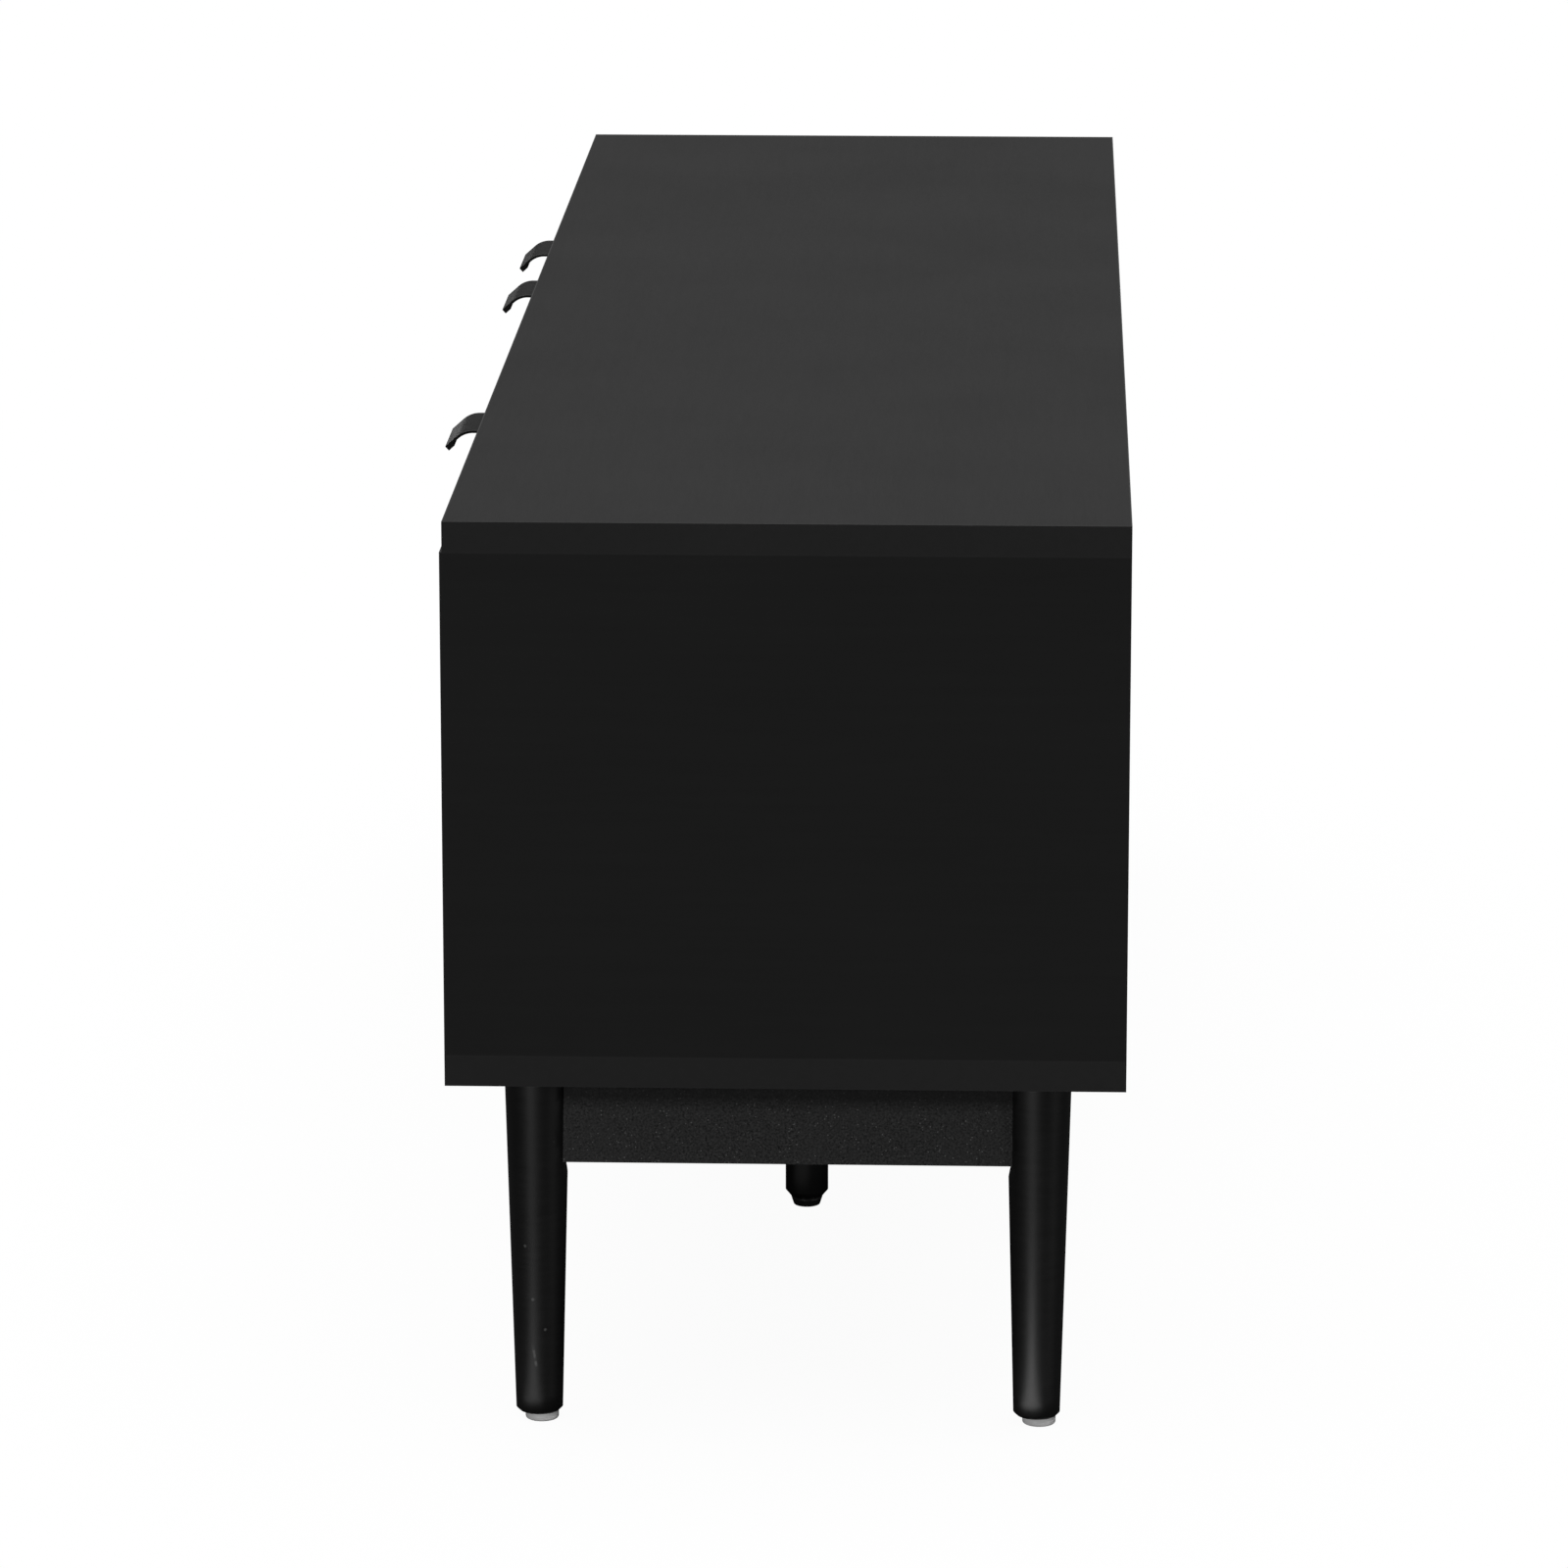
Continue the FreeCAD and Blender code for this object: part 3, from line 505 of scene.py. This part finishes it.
def make_pull(node, body, material):
    """Builds the pull of one front as a bent strip and lets it stand for the CAD node."""
    low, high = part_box(node)
    outline = pull_outline(low, high)
    shape = bmesh.new()
    rings = []
    for x in (low.x, high.x):
        rings.append([shape.verts.new((x, y, z)) for y, z in outline])
    left, right = rings
    count = len(outline)
    for i in range(count):
        following = (i + 1) % count
        shape.faces.new((left[i], left[following], right[following], right[i]))
    shape.faces.new(left)
    shape.faces.new(right)
    bmesh.ops.recalc_face_normals(shape, faces=shape.faces)
    mesh = bpy.data.meshes.new(node + "_bent")
    shape.to_mesh(mesh)
    shape.free()
    piece = bpy.data.objects.new(node + "_bent", mesh)
    bpy.context.scene.collection.objects.link(piece)
    mesh.materials.append(material)
    mesh.shade_smooth()
    mesh.set_sharp_from_angle(angle=math.radians(curve_limit_deg))
    round_edges(piece, sheet_arris, True)
    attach(piece, body)
    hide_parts(node)
    return piece


pulls = []
for body in ("left_door", "middle_door", "lower_drawer", "upper_drawer"):
    pulls.append(make_pull(body + "_pull", body, finishes["pull_paint"]))


# --- floor, light and camera -----------------------------------------------------------------------------
def mix_shaders(tree, factor, first, second):
    """Mixes two shaders: all first where factor is 0, and all second where it is 1."""
    mix = tree.nodes.new("ShaderNodeMixShader")
    if isinstance(factor, bpy.types.NodeSocket):
        tree.links.new(factor, mix.inputs[0])
    else:
        mix.inputs[0].default_value = factor
    tree.links.new(first, mix.inputs[1])
    tree.links.new(second, mix.inputs[2])
    return mix.outputs[0]


def seen_or_bounced(tree, seen, bounced):
    """Mixes two shaders: the first for what the camera looks at, the second for the light sent on."""
    path = tree.nodes.new("ShaderNodeLightPath")
    return mix_shaders(tree, path.outputs["Is Camera Ray"], bounced, seen)


def plain_shader(tree, kind, value):
    """A shader node of this kind in one even grey."""
    node = tree.nodes.new(kind)
    node.inputs["Color"].default_value = grey(value)
    return node.outputs[0]


def make_floor():
    """A studio floor that can be seen only from above."""
    half = floor_size / 2
    mesh = bpy.data.meshes.new("floor")
    corners = [(-half, -half, 0), (half, -half, 0), (half, half, 0), (-half, half, 0)]
    mesh.from_pydata(corners, [], [(0, 1, 2, 3)])
    floor = bpy.data.objects.new("floor", mesh)
    bpy.context.scene.collection.objects.link(floor)
    material = bpy.data.materials.new("floor")
    material.use_nodes = True
    tree = material.node_tree
    tree.nodes.remove(tree.nodes["Principled BSDF"])
    shaded = plain_shader(tree, "ShaderNodeBsdfDiffuse", floor_seen)
    bounced = plain_shader(tree, "ShaderNodeBsdfDiffuse", floor_bounce)
    glow = plain_shader(tree, "ShaderNodeEmission", 1.0)
    clear = plain_shader(tree, "ShaderNodeBsdfTransparent", 1.0)
    surface = seen_or_bounced(tree, mix_shaders(tree, floor_glow, shaded, glow), bounced)
    geometry = tree.nodes.new("ShaderNodeNewGeometry")
    one_sided = mix_shaders(tree, geometry.outputs["Backfacing"], surface, clear)
    tree.links.new(one_sided, tree.nodes["Material Output"].inputs["Surface"])
    mesh.materials.append(material)


def make_world():
    """Even white for the camera, and a dim fill for the cabinet."""
    world = bpy.data.worlds.new("studio")
    world.use_nodes = True
    bpy.context.scene.world = world
    tree = world.node_tree
    tree.nodes.clear()
    shaders = []
    for strength in (backdrop_seen, ambient):
        background = tree.nodes.new("ShaderNodeBackground")
        background.inputs["Strength"].default_value = strength
        background.inputs["Color"].default_value = grey(1.0)
        shaders.append(background.outputs[0])
    output = tree.nodes.new("ShaderNodeOutputWorld")
    tree.links.new(seen_or_bounced(tree, *shaders), output.inputs["Surface"])


def top_light():
    """Broad, soft light from straight above."""
    light = bpy.data.lights.new("top_light", "SUN")
    light.energy = top_light_strength
    light.angle = math.radians(top_light_spread_deg)
    lamp = bpy.data.objects.new("top_light", light)
    bpy.context.scene.collection.objects.link(lamp)


def wearers(finish_names):
    """The visible pieces that have one of these finishes."""
    chosen = []
    for part in frame["record"]["subparts"]:
        if part["material_slot"] in finish_names:
            chosen.append(frame["nodes"][part["node"]])
    if "pull_paint" in finish_names:
        chosen.extend(pulls)
    return chosen


def toward(azimuth_deg):
    """Level direction from the cabinet; azimuth 0 is to its front, and 90 to its right end."""
    turn = math.radians(azimuth_deg)
    return Vector((math.sin(turn), -math.cos(turn), 0))


def area_lamp(name, width, tall, power, lit):
    """Area light that shines only on the pieces in lit, and isn't seen itself."""
    light = bpy.data.lights.new(name, "AREA")
    light.shape = "RECTANGLE"
    light.size = width
    light.size_y = tall
    light.energy = power
    lamp = bpy.data.objects.new(name, light)
    lamp.visible_camera = False
    receivers = bpy.data.collections.new(name)
    for piece in lit:
        receivers.objects.link(piece)
    lamp.light_linking.receiver_collection = receivers
    bpy.context.scene.collection.objects.link(lamp)
    return lamp


def softbox(name, azimuth_deg, distance, height, width, tall, power, finish_names):
    """Area light that faces the middle of the cabinet."""
    lamp = area_lamp(name, width, tall, power, wearers(finish_names))
    place = toward(azimuth_deg) * distance + Vector((0, 0, height))
    aim = Vector((0, 0, cad_box[1].z / 2))
    lamp.location = place
    lamp.rotation_euler = (aim - place).to_track_quat("-Z", "Y").to_euler()


def floor_strip(name, leg, power):
    """Low light on the floor beside a leg, for the light that a white floor sends up to it."""
    lit = [frame["nodes"][leg]]
    lamp = area_lamp(name, floor_strip_length, floor_strip_width, power, lit)
    low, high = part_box(leg)
    foot = Vector(((low.x + high.x) / 2, (low.y + high.y) / 2, floor_strip_height))
    lamp.location = foot + toward(floor_strip_azimuth_deg) * floor_strip_away
    lamp.rotation_euler = (math.pi, 0, math.radians(floor_strip_azimuth_deg) - math.pi / 2)


def make_camera():
    camera = bpy.data.cameras.new("camera")
    camera.sensor_width = camera_sensor_mm
    camera.lens = camera_lens_mm
    camera.clip_end = camera_sees_to
    holder = bpy.data.objects.new("camera", camera)
    _, high = cad_box
    holder.location = (high.x + camera_from_end, high.y - camera_from_back, high.z + camera_over_top)
    yaw = math.radians(camera_yaw_deg)
    pitch = math.radians(camera_pitch_deg)
    aim = Vector((-math.cos(pitch) * math.cos(yaw), -math.cos(pitch) * math.sin(yaw), -math.sin(pitch)))
    holder.rotation_euler = aim.to_track_quat("-Z", "Y").to_euler()
    bpy.context.scene.collection.objects.link(holder)
    bpy.context.scene.camera = holder


make_floor()
make_world()
top_light()
softbox("left_softbox", azimuth_deg=72.0, distance=4.2, height=0.70,
        width=0.5, tall=1.2, power=37.0, finish_names=shaped_finishes)
softbox("right_softbox", azimuth_deg=142.0, distance=4.2, height=0.70,
        width=0.5, tall=1.2, power=16.0, finish_names=shaped_finishes)
softbox("far_softbox", azimuth_deg=-64.0, distance=3.2, height=0.60,
        width=0.9, tall=0.5, power=1.4, finish_names={"pull_paint"})
softbox("pull_softbox", azimuth_deg=-12.0, distance=3.6, height=1.5,
        width=2.0, tall=1.2, power=10.0, finish_names={"pull_paint"})
softbox("front_softbox", azimuth_deg=-12.0, distance=3.6, height=1.5,
        width=2.6, tall=1.6, power=60.0, finish_names=front_finishes)
softbox("back_softbox", azimuth_deg=192.0, distance=3.6, height=1.5,
        width=2.6, tall=1.6, power=60.0, finish_names={"back_board"})
floor_strip("front_floor_strip", "front_right_leg", power=0.03)
floor_strip("rear_floor_strip", "rear_right_leg", power=0.075)
floor_strip("support_floor_strip", "right_centre_support", power=0.0026)
make_camera()
bpy.context.scene.view_settings.view_transform = "Standard"
